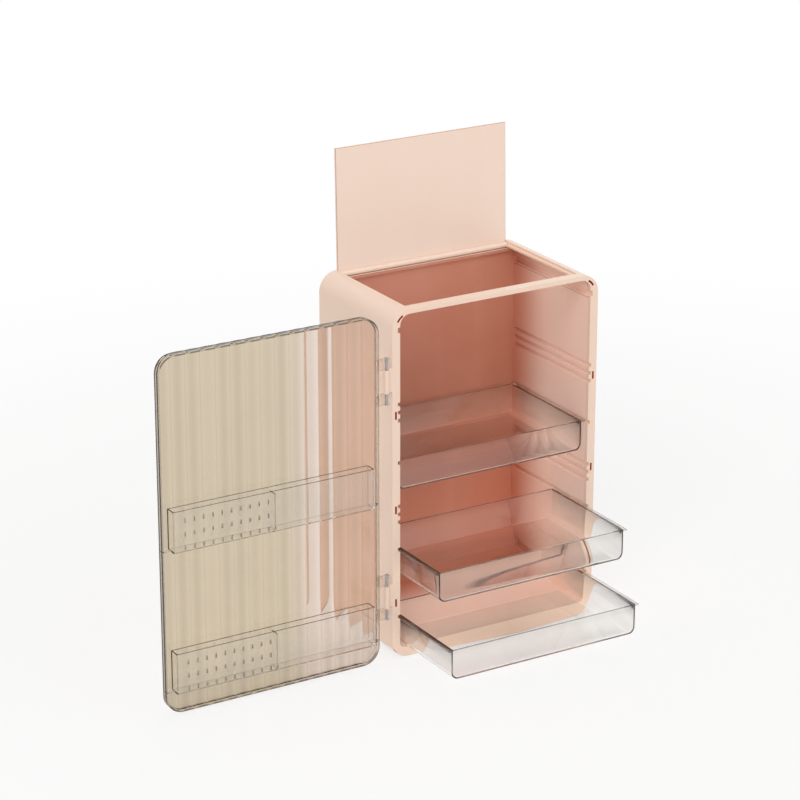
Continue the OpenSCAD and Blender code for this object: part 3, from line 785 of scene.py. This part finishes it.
class ORGANIZER_OT_cabinet(Operator):
    """Round the cabinet's edges, give it its moulded finish and paint light and shade on its inner
    faces and shade in its slots
    """

    bl_idname = "organizer.cabinet"
    bl_label = "Cabinet"

    def execute(self, context):
        s = context.scene.organizer_sizes
        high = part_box("front_frame")[1]
        seam = (1, float(high.y))
        half = float(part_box("back_panel")[1].x)
        rail = float(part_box("top_front_rail")[1].x)
        base = float(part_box("base_cover")[1].x)
        under = float(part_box("top_front_rail")[0].z)
        outer = float(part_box("right_side_panel")[1].x)
        rear = float(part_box("right_side_panel")[1].y)

        def depth(points):
            """How far out of the rectangle between the corners' centres each point lies."""
            reach = np.maximum(np.abs(points[..., 0]) - (outer - s.cabinet_corner), 0)
            rise = np.maximum(points[..., 2] - (high.z - s.cabinet_corner), 0)
            return np.hypot(reach, rise)

        def on_slot(points):
            off = np.abs(depth(points) - (s.cabinet_corner - s.slot_inset))
            return off < 0.55 * s.slot_width

        # The slots' walls take the painted slot shade
        def shaded_slot_walls(centres, normals):
            return on_slot(centres) & (np.abs(normals[:, 1]) < 0.5)

        def panel_faces(centres, normals):
            """2 behind the slots, where their shade is painted, 1 on the inner faces, which take
            the inner walls' painted light and shade, and 0 outside.
            """
            inside = (depth(centres) < s.cabinet_corner - 0.0005) & (centres[:, 2] < under)
            inside &= (normals[:, 1] < 0.5) & (np.abs(centres[:, 0]) < half + 0.0002)
            front = (normals[:, 1] < -0.5) & (np.abs(centres[:, 1] - high.y) < TOUCH)
            return np.where(front, 2, inside)

        # The front faces take the inner walls' painted light and shade
        def faces_front(centres, normals):
            return normals[:, 1] < -0.5

        def panel_edges(ends):
            """A fine rounding along the very narrow strip beside the lid's seat, and none where
            the panel meets the back panel."""
            past = np.abs(ends[:, :, 0]) - (outer - s.cabinet_corner)
            behind = ends[:, :, 1] > rear - TOUCH
            fine = ((past < 0.006) & behind).all(1)
            fine |= ((np.abs(past) < 0.0006) & (ends[:, :, 2] > high.z - 0.001)).all(1)
            met = ((depth(ends) < s.cabinet_corner - 0.0015) & behind).all(1)
            return np.where(met, 0.0, np.where(fine, 0.25, 1.0))

        def frame_edges(ends):
            """A fine rounding round the slots, and none where a knuckle's arm meets its barrel."""
            upright = np.abs(ends[:, 0, 2] - ends[:, 1, 2]) > 1e-4
            met = upright & (ends[:, :, 0] < -outer - 0.0045).all(1)
            return np.where(met, 0.0, np.where(on_slot(ends).all(1), 0.3, 1.0))

        # The second material is the inner walls' painted light and shade
        shell, shell_and_shaded_inside = ["shell_plastic"], ["shell_plastic", "inner_lit_and_shaded_plastic"]
        rounded_copy("front_frame", "cabinet", s.frame_round,
                     ["shell_plastic", "slot_painted_shade"], [seam], shaded_slot_walls, frame_edges)
        for side, sign in (("left", -1), ("right", 1)):
            rounded_copy(side + "_side_panel", "cabinet", s.shell_round,
                         [*shell_and_shaded_inside, "slot_painted_shade"], [seam, (0, sign * base)], panel_faces,
                         panel_edges)
        rounded_copy("top_front_rail", "cabinet", s.shell_round, shell,
                     [seam, (0, rail), (0, -rail)])
        for node in ("top_rear_rail", "back_panel"):
            rounded_copy(node, "cabinet", s.shell_round, shell_and_shaded_inside, kinds=faces_front)
        rounded_copy("base_cover", "cabinet", s.shell_round, shell,
                     [seam, (0, base), (0, -base)])
        return {"FINISHED"}


class ORGANIZER_OT_inner_walls(Operator):
    """Round the lips of the grooves in the inner walls and give walls and floor their painted
    light and shade
    """

    bl_idname = "organizer.inner_walls"
    bl_label = "Inner walls"

    def execute(self, context):
        s = context.scene.organizer_sizes
        seam = float(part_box("front_frame")[1].y)

        def behind(centres, normals):
            """The ends against the front frame, which its slots lay bare; they take the slots'
            painted shade.
            """
            return (normals[:, 1] < -0.5) & (np.abs(centres[:, 1] - seam) < TOUCH)

        for side in ("left", "right"):
            rounded_copy(side + "_runner_panel", "cabinet", s.shell_round,
                         ["inner_lit_and_shaded_plastic", "slot_painted_shade"], [(1, seam)], behind)
        # The floor takes the inner walls' painted light and shade
        paint("floor_panel", "inner_lit_and_shaded_plastic")
        return {"FINISHED"}


class ORGANIZER_OT_lid(Operator):
    """Round the lid's edges and tint its thin faces"""

    bl_idname = "organizer.lid"
    bl_label = "Dust lid"

    def execute(self, context):
        s = context.scene.organizer_sizes
        barrel_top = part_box("lid")[0].z + 0.007

        def off_barrel(ends):
            """No rounding where the plate runs into its barrel."""
            return (ends[:, :, 2] > barrel_top).any(1)

        rounded_copy("lid", "lid", s.lid_round, ["lid_plastic", "lid_edge_plastic"],
                     share=off_barrel)
        return {"FINISHED"}


class ORGANIZER_OT_door(Operator):
    """Build the smoked door with its flutes, rim and hinge lugs, with shade painted on its rim and
    edges
    """

    bl_idname = "organizer.door"
    bl_label = "Door"

    def execute(self, context):
        add_piece("door_smoked", door_mesh(), "door", ["door"],
                  ["smoked_plastic", "smoked_edge_shade_plastic", "lug_plastic"])
        return {"FINISHED"}


class ORGANIZER_OT_pockets(Operator):
    """Finish the door's pockets and their dividers in clear plastic, with shade painted on their
    rounded edges
    """

    bl_idname = "organizer.pockets"
    bl_label = "Door pockets"

    def execute(self, context):
        s = context.scene.organizer_sizes
        for level in ("upper", "lower"):
            for form in ("pocket", "divider"):
                rounded_copy(f"{level}_{form}", "door", s.clear_round,
                             ["clear_plastic", "clear_edge_shade_plastic"])
        return {"FINISHED"}


class ORGANIZER_OT_trays(Operator):
    """Build the clear trays with their flanges, with shade painted on their rims"""

    bl_idname = "organizer.trays"
    bl_label = "Trays"

    def execute(self, context):
        for level in ("top", "middle", "bottom"):
            node = level + "_tray"
            add_piece(node + "_clear", tray_mesh(node), node, [node],
                      ["clear_plastic", "clear_edge_shade_plastic", "flange_plastic"])
        return {"FINISHED"}


class ORGANIZER_OT_hardware(Operator):
    """Finish the pins, screws and pads"""

    bl_idname = "organizer.hardware"
    bl_label = "Pins, screws and pads"

    def execute(self, context):
        for node in ("hinge_pins", "lid_pins", "back_screws", "base_screws"):
            paint(node, "plain_steel")
        paint("feet", "pad_rubber")
        return {"FINISHED"}


class ORGANIZER_OT_stage(Operator):
    """Set the pale floor, the soft studio lights and the camera"""

    bl_idname = "organizer.stage"
    bl_label = "Stage"

    def execute(self, context):
        scene = context.scene
        add_floor(scene)
        add_world(scene)
        add_lamp("key_light", (-2.1, -2.4, 2.6), 2.2, 52.0)
        add_lamp("fill_light", (2.6, -1.6, 1.5), 2.4, 16.0)
        add_lamp("top_light", (0.1, 0.3, 3.0), 2.0, 16.0)
        data = bpy.data.cameras.new("camera")
        data.lens, data.sensor_width = 136.73, 36.0
        camera = bpy.data.objects.new("camera", data)
        camera.location = (-1.7132, -2.7392, 1.4424)
        camera.rotation_euler = (radians(90 - 20.12), 0.0, radians(-30.86))
        scene.collection.objects.link(camera)
        scene.camera = camera
        scene.view_settings.view_transform = "Standard"
        return {"FINISHED"}


def seen(r):
    """1 for what the camera, a mirror or a glass sees directly, and 0 for the light."""
    path = [r.node("ShaderNodeLightPath", out=f"Is {kind} Ray")
            for kind in ("Camera", "Glossy", "Transmission")]
    return (path[0] + path[1] + path[2]).clamped()


def add_floor(scene):
    """A wide flat grid whose finish turns to plain white away from the organizer."""
    tone = scene.organizer_colours.floor
    r = Recipe(bpy.data.materials.new("floor_paint"))
    speck = r.noise(60.0, 3.0)
    tinted = r.blend(speck, shade(tone, 0.985), tone)
    matt = r.node("ShaderNodeBsdfDiffuse", sockets={"Color": tinted})
    white = r.node("ShaderNodeEmission", sockets={"Color": (1, 1, 1, 1), "Strength": 1.0})
    away = r.node("ShaderNodeVectorMath", {"operation": "LENGTH"}, {0: r.place}, out=1)
    factor = seen(r) * (0.7 + 0.3 * away.ramp(0.35, 1.5))
    r.surface(r.node("ShaderNodeMixShader", sockets={0: factor, 1: matt, 2: white}))
    line = np.linspace(-30, 30, 9)
    grid = np.stack(np.meshgrid(line, line), -1).reshape(-1, 2)
    points = np.column_stack([grid, np.full(len(grid), CAD_BOX[0][2])])
    index = np.arange(len(grid)).reshape(len(line), -1)
    quads = np.stack([index[:-1, :-1], index[:-1, 1:], index[1:, 1:], index[1:, :-1]], -1)
    mesh = bpy.data.meshes.new("floor")
    mesh.from_pydata(points.tolist(), [], quads.reshape(-1, 4).tolist())
    mesh.materials.append(r.owner)
    floor = bpy.data.objects.new("floor", mesh)
    scene.collection.objects.link(floor)


def add_world(scene):
    """White where it is seen and a soft grey where it lights."""
    scene.world = bpy.data.worlds.new("studio")
    r = Recipe(scene.world)
    sky = r.node("ShaderNodeBackground",
                 sockets={"Color": (1, 1, 1, 1), "Strength": 0.52 + 0.48 * seen(r)})
    r.node("ShaderNodeOutputWorld", sockets={"Surface": sky})


def add_lamp(name, place, size, power):
    """A square soft light that faces the organizer's middle."""
    data = bpy.data.lights.new(name, "AREA")
    data.size, data.energy = size, power
    lamp = bpy.data.objects.new(name, data)
    bpy.context.scene.collection.objects.link(lamp)
    middle = (np.array(CAD_BOX[0]) + np.array(CAD_BOX[1])) / 2
    lamp.location = place
    lamp.rotation_euler = Vector(np.array(place) - middle).to_track_quat("Z", "Y").to_euler()


# ---- panel and registration ----

OPERATORS = (
    ORGANIZER_OT_cabinet, ORGANIZER_OT_inner_walls, ORGANIZER_OT_lid, ORGANIZER_OT_door,
    ORGANIZER_OT_pockets, ORGANIZER_OT_trays, ORGANIZER_OT_hardware, ORGANIZER_OT_stage,
)


class ORGANIZER_PT_looks(Panel):
    """Sizes, colours and steps of the organizer's finish."""

    bl_label = "Makeup Organizer"
    bl_idname = "ORGANIZER_PT_looks"
    bl_space_type = "VIEW_3D"
    bl_region_type = "UI"
    bl_category = "Organizer"

    def draw(self, context):
        for group in (context.scene.organizer_sizes, context.scene.organizer_colours):
            box = self.layout.box()
            for key in type(group).__annotations__:
                box.prop(group, key)
        for step in OPERATORS:
            self.layout.operator(step.bl_idname)


def register():
    for item in (OrganizerSizes, OrganizerColours, *OPERATORS, ORGANIZER_PT_looks):
        bpy.utils.register_class(item)
    bpy.types.Scene.organizer_sizes = PointerProperty(type=OrganizerSizes)
    bpy.types.Scene.organizer_colours = PointerProperty(type=OrganizerColours)


def unregister():
    del bpy.types.Scene.organizer_colours
    del bpy.types.Scene.organizer_sizes
    for item in (ORGANIZER_PT_looks, *reversed(OPERATORS), OrganizerColours, OrganizerSizes):
        bpy.utils.unregister_class(item)


def main():
    register()
    for step in OPERATORS:
        group, name = step.bl_idname.split(".")
        if getattr(getattr(bpy.ops, group), name)() != {"FINISHED"}:
            raise RuntimeError(f"{step.bl_label} didn't finish")


if __name__ == "__main__":
    main()
